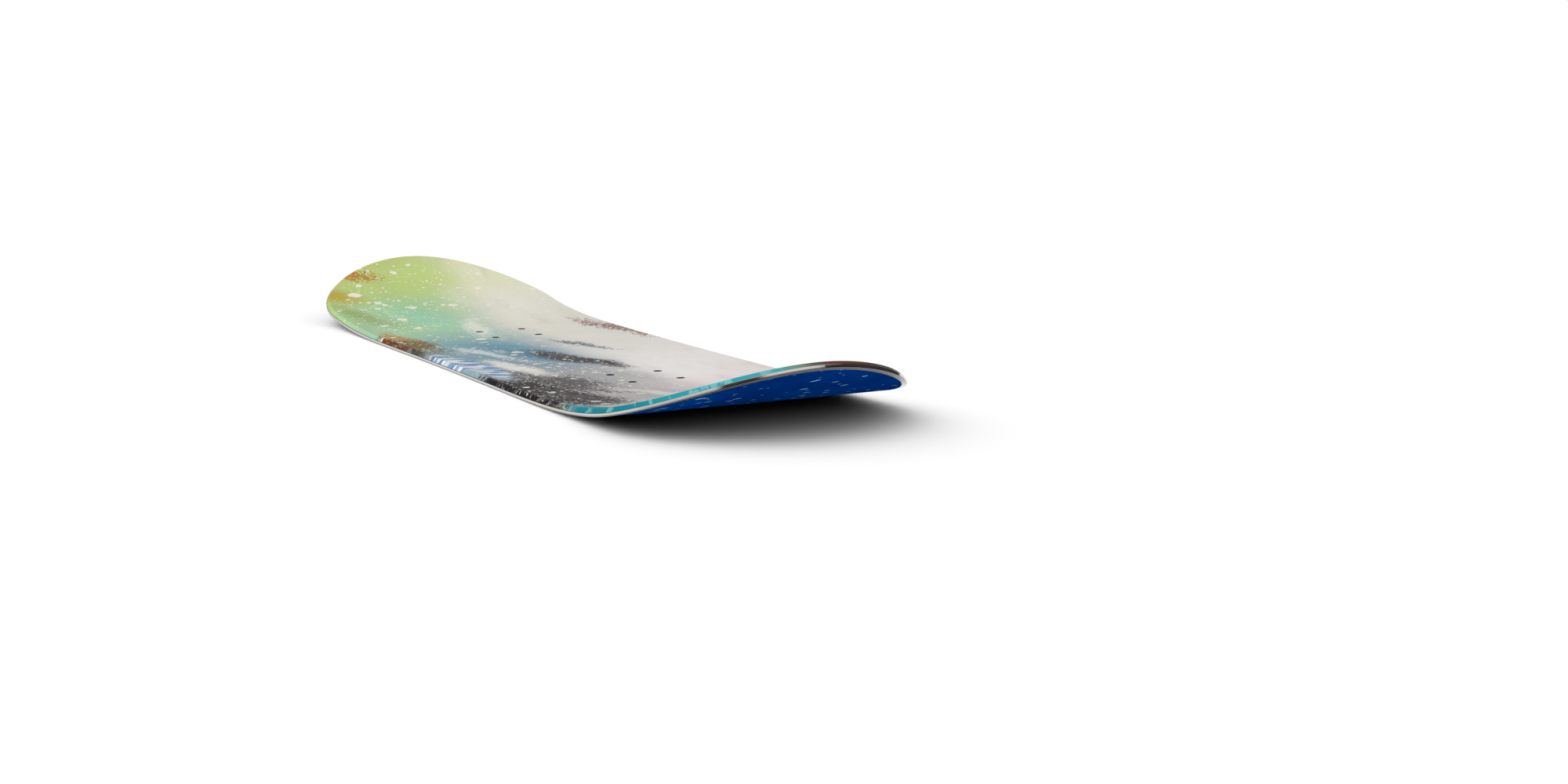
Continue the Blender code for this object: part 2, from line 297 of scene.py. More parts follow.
def newFinish(name, roughness=0.5, metallic=0.0, **constants):
    material = bpy.data.materials.new(name)
    material.use_nodes = True
    tree = material.node_tree
    shader = tree.nodes["Principled BSDF"]
    shader.inputs["Roughness"].default_value = roughness
    shader.inputs["Metallic"].default_value = metallic
    for socket, value in constants.items():
        shader.inputs[socket.replace("_", " ")].default_value = value
    place = addNode(tree, "ShaderNodeTexCoord")
    return material, tree, shader, place


def addBump(tree, shader, height, distance, strength=1.0):
    inputs = {"Height": height, "Distance": distance, "Strength": strength}
    bump = addNode(tree, "ShaderNodeBump", inputs)
    tree.links.new(bump.outputs["Normal"], shader.inputs["Normal"])


# Effects that several finishes share

def makeSprayCloud():
    # a soft oval of sprayed paint; a place that is stirred beforehand gives it its ragged outline
    group, given, made = newGroup(
        "sprayCloud",
        {"Place": ("Vector", None), "Centre": ("Vector", None), "Turn": ("Float", 0.0),
         "Length": ("Float", 0.1), "Width": ("Float", 0.03), "Bend": ("Float", 0.0),
         "Core": ("Float", 0.3)},
        {"Mask": "Float"})
    offset = vectorCalc(group, "SUBTRACT", given["Place"], given["Centre"])
    turned = turnPlace(group, offset, calc(group, "MULTIPLY", given["Turn"], -1.0))
    parts = axesOf(group, turned)
    sagging = calc(group, "MULTIPLY", calc(group, "MULTIPLY", parts[0], parts[0]), given["Bend"])
    lengthShare = calc(group, "DIVIDE", parts[0], given["Length"])
    widthShare = calc(group, "DIVIDE", calc(group, "SUBTRACT", parts[1], sagging), given["Width"])
    reach = calc(group, "SQRT", calc(group, "ADD", calc(group, "MULTIPLY", lengthShare, lengthShare),
                                     calc(group, "MULTIPLY", widthShare, widthShare)))
    group.links.new(fade(group, reach, 1.0, given["Core"]), made["Mask"])
    return group


def makeFlecks():
    # splashes of paint or chips of colour: one in some of the cells, each with its own size
    group, given, made = newGroup(
        "flecks",
        {"Place": ("Vector", None), "Cells": ("Float", 80.0), "Cover": ("Float", 0.3),
         "Size": ("Float", 0.35), "Ragged": ("Float", 0.3), "Seed": ("Float", 0.0)},
        {"Mask": "Float"})
    step = addNode(group, "ShaderNodeCombineXYZ", {0: given["Seed"], 1: given["Seed"]}).outputs[0]
    shifted = vectorCalc(group, "ADD", given["Place"], step)
    scaled = scaleVector(group, shifted, given["Cells"])
    wobble = addNode(group, "ShaderNodeTexNoise", {"Vector": scaled, "Scale": 2.6, "Detail": 2.0}).outputs[1]
    wobble = vectorCalc(group, "SUBTRACT", wobble, (0.5, 0.5, 0.5))
    wobble = scaleVector(group, wobble, given["Ragged"])
    cell = addNode(group, "ShaderNodeTexVoronoi",
                   {"Vector": vectorCalc(group, "ADD", scaled, wobble), "Scale": 1.0},
                   voronoi_dimensions="2D")
    luck = addNode(group, "ShaderNodeSeparateColor", {0: cell.outputs["Color"]}).outputs
    growth = calc(group, "ADD", calc(group, "MULTIPLY", luck[1], 0.8), 0.25)
    radius = calc(group, "MULTIPLY", given["Size"], growth)
    inside = fade(group, calc(group, "SUBTRACT", radius, cell.outputs["Distance"]), -0.02, 0.03)
    chosen = calc(group, "LESS_THAN", luck[0], given["Cover"])
    group.links.new(calc(group, "MULTIPLY", inside, chosen), made["Mask"])
    return group


def makeDissolve():
    # breaks a soft mask up into grains, each of which has its own luck
    group, given, made = newGroup(
        "dissolve",
        {"Mask In": ("Float", 0.5), "Luck": ("Float", 0.5), "Grain": ("Float", 1.0)},
        {"Mask": "Float"})
    broken = fade(group, calc(group, "SUBTRACT", given["Mask In"], given["Luck"]), 0.0, 0.12)
    mixed = addNode(group, "ShaderNodeMix", {0: given["Grain"], 2: given["Mask In"], 3: broken})
    group.links.new(mixed.outputs[0], made["Mask"])
    return group


def makeWear():
    # fine handling marks: short scratches one way and soft smudges
    group, given, made = newGroup(
        "handling",
        {"Place": ("Vector", None), "Scale": ("Float", 1.0)},
        {"Scratches": "Float", "Smudges": "Float"})
    lane = vectorCalc(group, "MULTIPLY", given["Place"], (40.0, 900.0, 40.0))
    fine = noise(group, lane, given["Scale"], 3.0, 0.7)
    marks = fade(group, fine, 0.68, 0.78)
    blotch = noise(group, given["Place"], 22.0, 3.0, 0.55)
    group.links.new(marks, made["Scratches"])
    group.links.new(blotch, made["Smudges"])
    return group


sprayCloud = makeSprayCloud()
flecks = makeFlecks()
dissolve = makeDissolve()
handling = makeWear()


# The printed cap

printLook = {
    "near": [                             # the camera's side of the print, tail to nose
        (0.00, "#C3C777"), (0.06, "#BCCF83"), (0.14, "#A9CC97"), (0.22, "#A2CAA8"),
        (0.32, "#8CB4AE"), (0.42, "#7CA1AE"), (0.52, "#86A0AF"), (0.62, "#ACAEAF"), (0.76, "#BBB7B7"),
        (1.00, "#C8C5C4")],
    "far": [
        (0.00, "#D5D79A"), (0.08, "#E2E2C2"), (0.20, "#E4E1D4"), (0.45, "#EDE9E2"),
        (0.62, "#F5F1EE"), (0.74, "#F4E8E8"), (1.00, "#F2E3E3")],
    "cream": "#F1ECDD",
    "thinWash": "#A5A398",
    "holeWallShade": "#141314",
    "rim": [                              # the nose's border, from the camera's side round the tip
        (0.02, "#147F8D"), (0.12, "#1896A2"), (0.26, "#1E9EAA"), (0.41, "#3FA3A5"), (0.49, "#6E877C"),
        (0.55, "#5D5C58"), (0.60, "#6E3B38"), (0.76, "#693A37"), (0.85, "#57504A"), (1.00, "#5E5A54")],
    "rimIce": "#8CCFCD",
    "strokeDeep": "#3F7DB4",
    "strokeFoam": "#E9EFF1",
    "stir": ((7.0, 0.050), (32.0, 0.014), (150.0, 0.0020)),   # how the paint's outlines are ragged
    "grainCells": 520.0,
}
clouds = [
    # name, centre along and across, turn in degrees, half length and width, bend, core,
    # colour, strength, grain
    ("limeGlow", -0.365, 0.000, 30, 0.065, 0.075, 0.0, 0.0, "#BCD276", 0.75, 0.0),
    ("mintPool", -0.240, -0.040, 12, 0.100, 0.040, 1.0, 0.1, "#94CFB0", 0.8, 0.0),
    ("mossVeil", -0.275, -0.092, 12, 0.085, 0.020, 1.0, 0.0, "#8EA65A", 0.75, 0.2),
    ("goldRim", -0.345, -0.092, 30, 0.055, 0.024, 2.0, 0.2, "#BDA63F", 0.9, 0.3),
    ("ochreDust", -0.378, -0.060, 55, 0.045, 0.018, 2.0, 0.1, "#B67A22", 0.9, 0.75),
    ("creamFog", -0.185, 0.052, -6, 0.170, 0.050, 0.0, 0.2, "#EEEADE", 0.9, 0.1),
    ("blueHaze", -0.050, -0.040, 20, 0.135, 0.052, 0.0, 0.1, "#5E9AB0", 0.9, 0.1),
    ("deepHaze", 0.000, -0.032, 18, 0.080, 0.022, 1.2, 0.1, "#467C94", 0.8, 0.3),
    ("snowDrift", 0.125, 0.045, 6, 0.180, 0.050, 0.0, 0.2, "#F8F5F2", 0.9, 0.1),
    ("rustBank", -0.118, -0.098, 5, 0.085, 0.026, 0.6, 0.35, "#6B3113", 0.98, 0.65),
    ("amberDust", -0.165, -0.094, 8, 0.050, 0.014, 0.8, 0.1, "#B5762F", 0.9, 0.8),
    ("clayBank", -0.130, 0.098, 3, 0.095, 0.018, -0.4, 0.2, "#84564B", 0.85, 0.9),
    ("duskSweep", 0.030, -0.012, 13, 0.085, 0.021, 1.3, 0.4, "#33262C", 0.95, 0.5),
    ("slateSweep", -0.045, 0.030, 20, 0.065, 0.010, 1.6, 0.1, "#4D6070", 0.85, 0.7),
    ("ashVeil", 0.140, -0.066, 12, 0.115, 0.034, 0.8, 0.2, "#4C4248", 0.9, 0.8),
    ("coalBank", 0.175, -0.104, 7, 0.120, 0.040, 0.6, 0.6, "#1B1219", 0.98, 0.75),
    ("foamBank", 0.060, -0.072, 12, 0.070, 0.016, 1.4, 0.3, "#F4F1EA", 0.9, 0.45),
    ("mistSpray", -0.185, -0.012, -14, 0.085, 0.017, 0.0, 0.1, "#E9EAE0", 0.85, 0.6),
    ("frostSpray", -0.020, -0.062, 10, 0.080, 0.010, 0.6, 0.1, "#DCE6E8", 0.8, 0.7),
    ("umberDust", -0.060, -0.104, 6, 0.050, 0.016, 0.5, 0.3, "#4B4038", 0.9, 0.8),
    ("blushFog", 0.215, 0.050, -8, 0.105, 0.045, 0.0, 0.1, "#F7E4E5", 0.8, 0.1),
    ("paleLick", 0.235, -0.030, 20, 0.085, 0.012, 1.0, 0.1, "#F0ECE9", 0.7, 0.2),
]
splashes = [
    # cells a metre, share of them filled, size, strength
    (45.0, 0.18, 0.27, 0.95),
    (95.0, 0.20, 0.28, 0.95),
    (210.0, 0.28, 0.30, 0.9),
    (420.0, 0.16, 0.32, 0.85),
]


def stirred(tree, spot):
    # the place moved about by noise of several sizes
    place = spot
    for scale, strength in printLook["stir"]:
        inputs = {"Vector": spot, "Scale": scale, "Detail": 2.0}
        swirl = addNode(tree, "ShaderNodeTexNoise", inputs).outputs["Color"]
        swirl = vectorCalc(tree, "SUBTRACT", swirl, (0.5, 0.5, 0.5))
        swirl = vectorCalc(tree, "MULTIPLY", swirl, (strength, strength, 0.0))
        place = vectorCalc(tree, "ADD", place, swirl)
    return place


def washColour(tree, place):
    axes = axesOf(tree, place)
    along = calc(tree, "ADD", axes[0], calc(tree, "MULTIPLY", axes[1], 0.35))
    inputs = {"Value": along, "From Min": -0.42, "From Max": 0.42}
    wash = addNode(tree, "ShaderNodeMapRange", inputs).outputs[0]
    near = ramp(tree, wash, printLook["near"])
    far = ramp(tree, wash, printLook["far"])
    return blendColour(tree, fade(tree, axes[1], -0.040, 0.050), near, far)


def rimStrokes(tree, spot, place, colour):
    # short slanted strokes of foam over blue along the rim on the camera's side
    leaned = turnPlace(tree, spot, math.radians(-62))
    strokes = noise(tree, vectorCalc(tree, "MULTIPLY", leaned, (34.0, 190.0, 0.0)), 1.0, 3.0, 0.6, 0.5)
    mask = useGroup(tree, sprayCloud, {"Place": place, "Centre": (0.030, -0.098, 0.0), "Turn": 0.03,
                                       "Length": 0.100, "Width": 0.014, "Core": 0.6}).outputs[0]
    stroke = blendColour(tree, fade(tree, strokes, 0.42, 0.60), tint(printLook["strokeDeep"]),
                         tint(printLook["strokeFoam"]))
    return blendColour(tree, calc(tree, "MULTIPLY", mask, 0.9), colour, stroke)


def noseBorder(tree, spot, place, colour):
    # a ragged band round the nose, teal on the camera's side and rust on the other
    rim = addNode(tree, "ShaderNodeAttribute", attribute_name="rimDistance").outputs["Fac"]
    axes = axesOf(tree, spot)
    lane = vectorCalc(tree, "MULTIPLY", place, (14.0, 60.0, 0.0))
    tear = calc(tree, "SUBTRACT", noise(tree, lane, 1.0, 4.0, 0.65), 0.5)
    border = calc(tree, "ADD", rim, calc(tree, "MULTIPLY", tear, 0.014))
    onNose = fade(tree, calc(tree, "ADD", axes[0], calc(tree, "MULTIPLY", axes[1], -0.15)), 0.245, 0.285)
    band = calc(tree, "MULTIPLY", fade(tree, border, 0.0122, 0.0108), onNose)
    block = noise(tree, vectorCalc(tree, "MULTIPLY", place, (45.0, 160.0, 0.0)), 1.0, 2.0, 0.5)
    inputs = {"Value": axes[1], "From Min": -0.11, "From Max": 0.08}
    around = addNode(tree, "ShaderNodeMapRange", inputs).outputs[0]
    rimColour = ramp(tree, around, printLook["rim"])
    ice = calc(tree, "MULTIPLY", fade(tree, block, 0.54, 0.62), fade(tree, axes[1], -0.010, -0.050, high=0.5))
    return blendColour(tree, band, colour, blendColour(tree, ice, rimColour, tint(printLook["rimIce"])))


def holeShade(tree, spot):
    # painted shade: 1 on the cut walls of the eight holes, which are folded onto one, and 0 on the deck; the
    # walls are painted near black as the shade inside the holes
    axes = axesOf(tree, spot)
    foot = calc(tree, "SUBTRACT", calc(tree, "ABSOLUTE", axes[0]), footing["stance"] / 2)
    along = calc(tree, "SUBTRACT", calc(tree, "ABSOLUTE", foot), footing["pattern"] / 2)
    across = calc(tree, "SUBTRACT", calc(tree, "ABSOLUTE", axes[1]), footing["pattern"] / 2)
    reach = calc(tree, "SQRT", calc(tree, "ADD", calc(tree, "MULTIPLY", along, along),
                                    calc(tree, "MULTIPLY", across, across)))
    return fade(tree, reach, capSheet["holeRadius"] + 0.0004, capSheet["holeRadius"] + 0.0001)


def makePrint():
    material, tree, shader, place = newFinish("glossPrint", roughness=0.2, Specular_IOR_Level=0.06)
    spot = place.outputs["Object"]
    paint = stirred(tree, spot)
    colour = washColour(tree, paint)
    cells = addNode(tree, "ShaderNodeTexVoronoi", {"Vector": spot, "Scale": printLook["grainCells"]},
                    voronoi_dimensions="2D")
    luck = addNode(tree, "ShaderNodeSeparateColor", {0: cells.outputs["Color"]}).outputs[0]
    for name, x, y, turn, length, width, bend, core, code, strength, grain in clouds:
        cloud = useGroup(tree, sprayCloud, {
            "Place": paint, "Centre": (x, y, 0.0), "Turn": math.radians(turn), "Length": length,
            "Width": width, "Bend": bend, "Core": core})
        cloud.name = name
        inputs = {"Mask In": cloud.outputs["Mask"], "Luck": luck, "Grain": grain}
        mask = useGroup(tree, dissolve, inputs).outputs["Mask"]
        colour = blendColour(tree, calc(tree, "MULTIPLY", mask, strength), colour, tint(code))
    colour = rimStrokes(tree, spot, paint, colour)
    drift = noise(tree, vectorCalc(tree, "MULTIPLY", paint, (11.0, 30.0, 0.0)), 1.0, 5.0, 0.68)
    colour = blendColour(tree, fade(tree, drift, 0.50, 0.72, high=0.22), colour, tint(printLook["thinWash"]))
    colour = blendColour(tree, fade(tree, drift, 0.46, 0.28, high=0.45), colour, tint(printLook["cream"]))

    thick = fade(tree, noise(tree, spot, 16.0, 2.0, 0.5), 0.35, 0.62, low=0.15)
    rim = addNode(tree, "ShaderNodeAttribute", attribute_name="rimDistance").outputs["Fac"]
    thick = calc(tree, "MULTIPLY", thick, fade(tree, rim, 0.0022, 0.0040, low=0.2))
    for cellCount, cover, size, strength in splashes:
        inputs = {"Place": spot, "Cells": cellCount, "Cover": calc(tree, "MULTIPLY", thick, cover),
                  "Size": size, "Ragged": 0.4, "Seed": cellCount * 0.013}
        splash = useGroup(tree, flecks, inputs).outputs["Mask"]
        colour = blendColour(tree, calc(tree, "MULTIPLY", splash, strength), colour, tint(printLook["cream"]))
    colour = noseBorder(tree, spot, paint, colour)
    # painted shade: the holes' cut walls and chamfers are darkened to near black
    colour = blendColour(tree, holeShade(tree, spot), colour, tint(printLook["holeWallShade"]))
    tree.links.new(colour, shader.inputs["Base Color"])

    marks = useGroup(tree, handling, {"Place": spot})
    gloss = calc(tree, "ADD", 0.12, calc(tree, "MULTIPLY", marks.outputs["Smudges"], 0.10))
    gloss = calc(tree, "ADD", gloss, calc(tree, "MULTIPLY", marks.outputs["Scratches"], 0.1))
    tree.links.new(gloss, shader.inputs["Roughness"])
    peel = noise(tree, spot, 420.0, 2.0, 0.5)
    addBump(tree, shader, peel, 0.00002, 0.35)
    return material


capSheet = {
    "foot": 0.00264,                      # lower edge, just above the steel
    "setback": 0.0002,
    "slopeWidth": 0.0024,
    "slopeSupports": (0.12, 0.68),        # shares of the slope, between which it stays flat
    "rollRadius": 0.0011,                 # where the slope turns over into the deck
    "footRadius": 0.00012,
    "wall": 0.0004,
    "cuts": 40,
    "holeRadius": 0.0032,
    "holeChamfer": 0.00018,
    "holeSides": 64,
}
footing = {"stance": 0.281, "pattern": 0.040}


def insertPlaces():
    for end, endName in ((1, "nose"), (-1, "tail")):
        for row, rowName in ((1, "front"), (-1, "rear")):
            for side, sideName in ((1, "left"), (-1, "right")):
                x = end * footing["stance"] / 2 + row * footing["pattern"] / 2
                yield f"{endName}_foot_{rowName}_{sideName}", x, side * footing["pattern"] / 2


def holeCutters():
    cutters = []
    deck = board["thick"]
    for name, x, y in insertPlaces():
        clearSelection()
        bpy.ops.mesh.primitive_cylinder_add(
            vertices=capSheet["holeSides"], radius=capSheet["holeRadius"], depth=deck / 2,
            location=(0, 0, deck - capSheet["holeChamfer"] - deck / 4))
        cutter = bpy.context.object
        bpy.ops.object.mode_set(mode="EDIT")
        bpy.ops.mesh.select_all(action="DESELECT")
        bpy.ops.object.mode_set(mode="OBJECT")
        for face in cutter.data.polygons:
            face.select = face.normal.z > 0.9
        bpy.ops.object.mode_set(mode="EDIT")
        lift = (0, 0, 2 * capSheet["holeChamfer"])
        bpy.ops.mesh.extrude_region_move(TRANSFORM_OT_translate={"value": lift})
        grow = 1 + 2 * capSheet["holeChamfer"] / capSheet["holeRadius"]
        bpy.ops.transform.resize(value=(grow, grow, 1), center_override=(0, 0, deck))
        bpy.ops.object.mode_set(mode="OBJECT")
        bpy.ops.object.transform_apply(location=True, rotation=True, scale=True)
        standOn(cutter, x, y)
        cutters.append(cutter)
    clearSelection()
    for cutter in cutters:
        cutter.select_set(True)
    bpy.context.view_layer.objects.active = cutters[0]
    bpy.ops.object.join()
    return bpy.context.object


def measureRim(piece):
    # how far each point lies from the rim, seen from above
    stations = np.linspace(-halfLength, halfLength, 1200)
    outline = []
    for station in stations:
        along, across = rimPoint(station, 0)
        point = pressed(along, across, board["thick"] / 2)
        outline.append((point.x, point.y))
    outline = np.array(outline)
    count = len(piece.data.vertices)
    places = np.empty(count * 3, np.float32)
    piece.data.vertices.foreach_get("co", places)
    places = places.reshape(-1, 3)[:, :2].astype(float)
    places[:, 1] = np.abs(places[:, 1])
    distance = np.full(count, 1.0)
    for start in range(0, count, 4000):
        block = places[start:start + 4000]
        gap = np.linalg.norm(block[:, None] - outline[None], axis=2)
        distance[start:start + 4000] = gap.min(axis=1)
    layer = piece.data.attributes.new("rimDistance", "FLOAT", "POINT")
    layer.data.foreach_set("value", distance.astype(np.float32))


def makeTopSheet():
    slopeTop = capSheet["setback"] + capSheet["slopeWidth"]
    supports = []
    for share in capSheet["slopeSupports"]:
        height = capSheet["foot"] + (board["thick"] - capSheet["foot"]) * share
        supports.append((capSheet["setback"] + capSheet["slopeWidth"] * share, height, 0))
    section = roundedSection([
        (capSheet["setback"] + capSheet["wall"], capSheet["foot"], 0),
        (capSheet["setback"], capSheet["foot"], capSheet["footRadius"]),
        *supports,
        (slopeTop, board["thick"], capSheet["rollRadius"]),
        (slopeTop + capSheet["rollRadius"], board["thick"], 0),
        (slopeTop + 0.004, board["thick"], 0)], steps=6)
    sheet = layWide("topSheet", section[1:], capSheet["cuts"])
    tidyMesh(sheet)
    applyModifier(sheet, "SOLIDIFY", "filmThickness", thickness=capSheet["wall"], offset=-1)
    cutter = holeCutters()
    applyModifier(sheet, "BOOLEAN", "screwHoles", object=cutter, operation="DIFFERENCE", solver="EXACT")
    bpy.data.objects.remove(cutter)
    measureRim(sheet)
    finishPiece(sheet, makePrint(), "top_sheet")
    return sheet


topSheet = makeTopSheet()
print("top sheet laid:", len(topSheet.data.polygons), "faces")


# Steel edge

edgeSteel = {
    "height": 0.0026,
    "width": 0.0037,
    "flangeReach": 0.0055,
    "flangeBottom": 0.0012,
    "flangeTop": 0.0017,
    "topRadius": 0.00035,
    "groundRadius": 0.00015,
    "support": 0.00045,
    "seam": 0.00003,                      # hairline where the two halves meet at each tip
    "footShadeMiddle": 0.00075,                # along the section from the underside, the middle of a band of painted shade on the ground foot, standing in for the contact shadow that the steel mirrors
    "footShadeHalf": 0.0006,
    "colour": "#C9C8C4",
}


def makeSteel():
    material, tree, shader, place = newFinish("polishedEdgeSteel", roughness=0.1, metallic=1.0)
    layout = addNode(tree, "ShaderNodeUVMap", uv_map="rimLayout").outputs["UV"]
    lane = vectorCalc(tree, "MULTIPLY", layout, (30.0, 4200.0, 1.0))
    grind = noise(tree, lane, 1.0, 3.0, 0.6)
    blotch = noise(tree, place.outputs["Object"], 60.0, 3.0, 0.5)
    inputs = {"Place": vectorCalc(tree, "MULTIPLY", layout, (1.0, 2.0, 1.0)), "Cells": 420.0,
              "Cover": 0.02, "Size": 0.22, "Ragged": 0.8, "Seed": 2.0}
    nick = useGroup(tree, flecks, inputs).outputs["Mask"]
    shade = calc(tree, "ADD", 0.86, calc(tree, "MULTIPLY", grind, 0.2))
    shade = calc(tree, "SUBTRACT", shade, calc(tree, "MULTIPLY", nick, 0.25))
    # painted shade: the ground foot is darkened as if it mirrored the contact shadow on the floor
    across = axesOf(tree, layout)[1]
    foot = calc(tree, "ABSOLUTE", calc(tree, "SUBTRACT", across, edgeSteel["footShadeMiddle"]))
    foot = fade(tree, foot, edgeSteel["footShadeHalf"], edgeSteel["footShadeHalf"] / 2)
    shade = calc(tree, "MULTIPLY", shade, calc(tree, "SUBTRACT", 1.0, calc(tree, "MULTIPLY", foot, 0.6)))
    colour = scaleVector(tree, tint(edgeSteel["colour"])[:3], shade)
    tree.links.new(colour, shader.inputs["Base Color"])
    rough = calc(tree, "ADD", 0.03, calc(tree, "MULTIPLY", grind, 0.06))
    rough = calc(tree, "ADD", rough, calc(tree, "MULTIPLY", blotch, 0.05))
    tree.links.new(rough, shader.inputs["Roughness"])
    addBump(tree, shader, calc(tree, "SUBTRACT", grind, nick), 0.00001, 0.25)
    return material


def makeEdge(side, name, node, material):
    section = roundedSection([
        (edgeSteel["support"], 0, 0),
        (0, 0, edgeSteel["groundRadius"]),
        (0, edgeSteel["support"], 0),     # a support line beside each rounded corner keeps the flats flat
        (0, edgeSteel["height"] - edgeSteel["support"], 0),
        (0, edgeSteel["height"], edgeSteel["topRadius"]),
        (edgeSteel["width"], edgeSteel["height"], 0),
        (edgeSteel["width"], edgeSteel["flangeTop"], 0),
        (edgeSteel["width"] + edgeSteel["flangeReach"], edgeSteel["flangeTop"], 0),
        (edgeSteel["width"] + edgeSteel["flangeReach"], edgeSteel["flangeBottom"], 0),
        (edgeSteel["width"], edgeSteel["flangeBottom"], 0),
        (edgeSteel["width"], 0, 0)], steps=5)
    section.append(section[0])

    def place(station, column):
        inset, height = section[column]
        along, across = rimPoint(station, inset)
        return pressed(along, side * max(across, edgeSteel["seam"] / 2), height)

    edge = layGrid(name, len(section), place)
    runs = np.concatenate([[0], np.cumsum([math.dist(a, b) for a, b in zip(section, section[1:])])])
    layout = edge.data.uv_layers.active
    layout.name = "rimLayout"
    for corner in layout.data:
        column = corner.uv[1] * (len(section) - 1)
        corner.uv = (corner.uv[0] * board["length"], float(np.interp(column, range(len(section)), runs)))
    tidyMesh(edge, closeEnds=True)
    finishPiece(edge, material, node)
    return edge


steelFinish = makeSteel()
edgeLeft = makeEdge(1, "steelEdgeLeft", "steel_edge_left", steelFinish)
edgeRight = makeEdge(-1, "steelEdgeRight", "steel_edge_right", steelFinish)
print("steel edges laid:", len(edgeLeft.data.polygons), "faces each")


# Base sheet

runningBase = {
    "thick": 0.0009,
    "inset": 0.00374,
    "cornerRadius": 0.00008,
    "cuts": 40,
    "colour": "#003A88",
    "deepColour": "#002B70",
    "fleckColour": "#8FD8EA",
    "sheen": 0.0,
}


def makeBase():
    material, tree, shader, place = newFinish("blueRunningBase", roughness=0.3,
                                              Specular_IOR_Level=runningBase["sheen"])
    spot = place.outputs["Object"]
    cloud = noise(tree, spot, 14.0, 4.0, 0.6)
    colour = blendColour(tree, fade(tree, cloud, 0.35, 0.65), tint(runningBase["deepColour"]),
                         tint(runningBase["colour"]))
    turned = turnPlace(tree, spot, math.radians(-70))
    lane = vectorCalc(tree, "MULTIPLY", turned, (0.28, 1.0, 1.0))
    for cells, cover, size, strength in ((110.0, 0.34, 0.12, 0.65), (210.0, 0.34, 0.16, 0.6)):
        chip = useGroup(tree, flecks, {"Place": lane, "Cells": cells, "Cover": cover, "Size": size,
                                       "Ragged": 0.2, "Seed": cells * 0.031}).outputs[0]
        colour = blendColour(tree, calc(tree, "MULTIPLY", chip, strength), colour,
                             tint(runningBase["fleckColour"]))
    # painted shade: the base turns black to diffuse rays, so it bounces no light or blue into the floor's
    # shadow beneath it
    bounced = addNode(tree, "ShaderNodeLightPath").outputs["Is Diffuse Ray"]
    colour = blendColour(tree, bounced, colour, (0, 0, 0, 1))
    tree.links.new(colour, shader.inputs["Base Color"])
    ground = noise(tree, vectorCalc(tree, "MULTIPLY", spot, (18.0, 1500.0, 18.0)), 1.0, 2.0, 0.5)
    marks = useGroup(tree, handling, {"Place": spot})
    rough = calc(tree, "ADD", 0.24, calc(tree, "MULTIPLY", marks.outputs["Smudges"], 0.16))
    rough = calc(tree, "ADD", rough, calc(tree, "MULTIPLY", marks.outputs["Scratches"], 0.15))
    tree.links.new(rough, shader.inputs["Roughness"])
    addBump(tree, shader, ground, 0.00002, 0.5)
    return material


def makeBaseSheet():
    inset = runningBase["inset"]
    section = roundedSection([
        (inset, runningBase["thick"], 0),
        (inset, 0, runningBase["cornerRadius"]),
        (inset + 0.004, 0, 0)], steps=3)
    sheet = layWide("baseSheet", section[1:], runningBase["cuts"], underside=True)
    tidyMesh(sheet)
    applyModifier(sheet, "SOLIDIFY", "sheetThickness", thickness=runningBase["thick"], offset=-1)
    finishPiece(sheet, makeBase(), "base_sheet")
    return sheet


baseSheet = makeBaseSheet()
print("base sheet laid:", len(baseSheet.data.polygons), "faces")


# Threaded inserts

insert = {
    "top": 0.0052,
    "bottom": 0.0018,
    "barrel": 0.0042,
    "flange": 0.0070,
    "flangeThick": 0.0008,
    "threadOuter": 0.0030,
    "threadInner": 0.00246,
    "pitch": 0.0010,
    "mouthChamfer": 0.0005,
    "sides": 48,
    "rowsPerPitch": 10,
    "colour": "#3B3A37",
}


def makeInsertFinish():
    material, tree, shader, place = newFinish("platedInsertSteel", roughness=0.35, metallic=1.0)
    spot = place.outputs["Object"]
    blotch = noise(tree, spot, 700.0, 3.0, 0.6)
    colour = blendColour(tree, fade(tree, blotch, 0.35, 0.7), tint("#262524"), tint(insert["colour"]))
    tree.links.new(colour, shader.inputs["Base Color"])
    tree.links.new(calc(tree, "ADD", 0.28, calc(tree, "MULTIPLY", blotch, 0.2)), shader.inputs["Roughness"])
    addBump(tree, shader, blotch, 0.00001, 0.4)
    return material


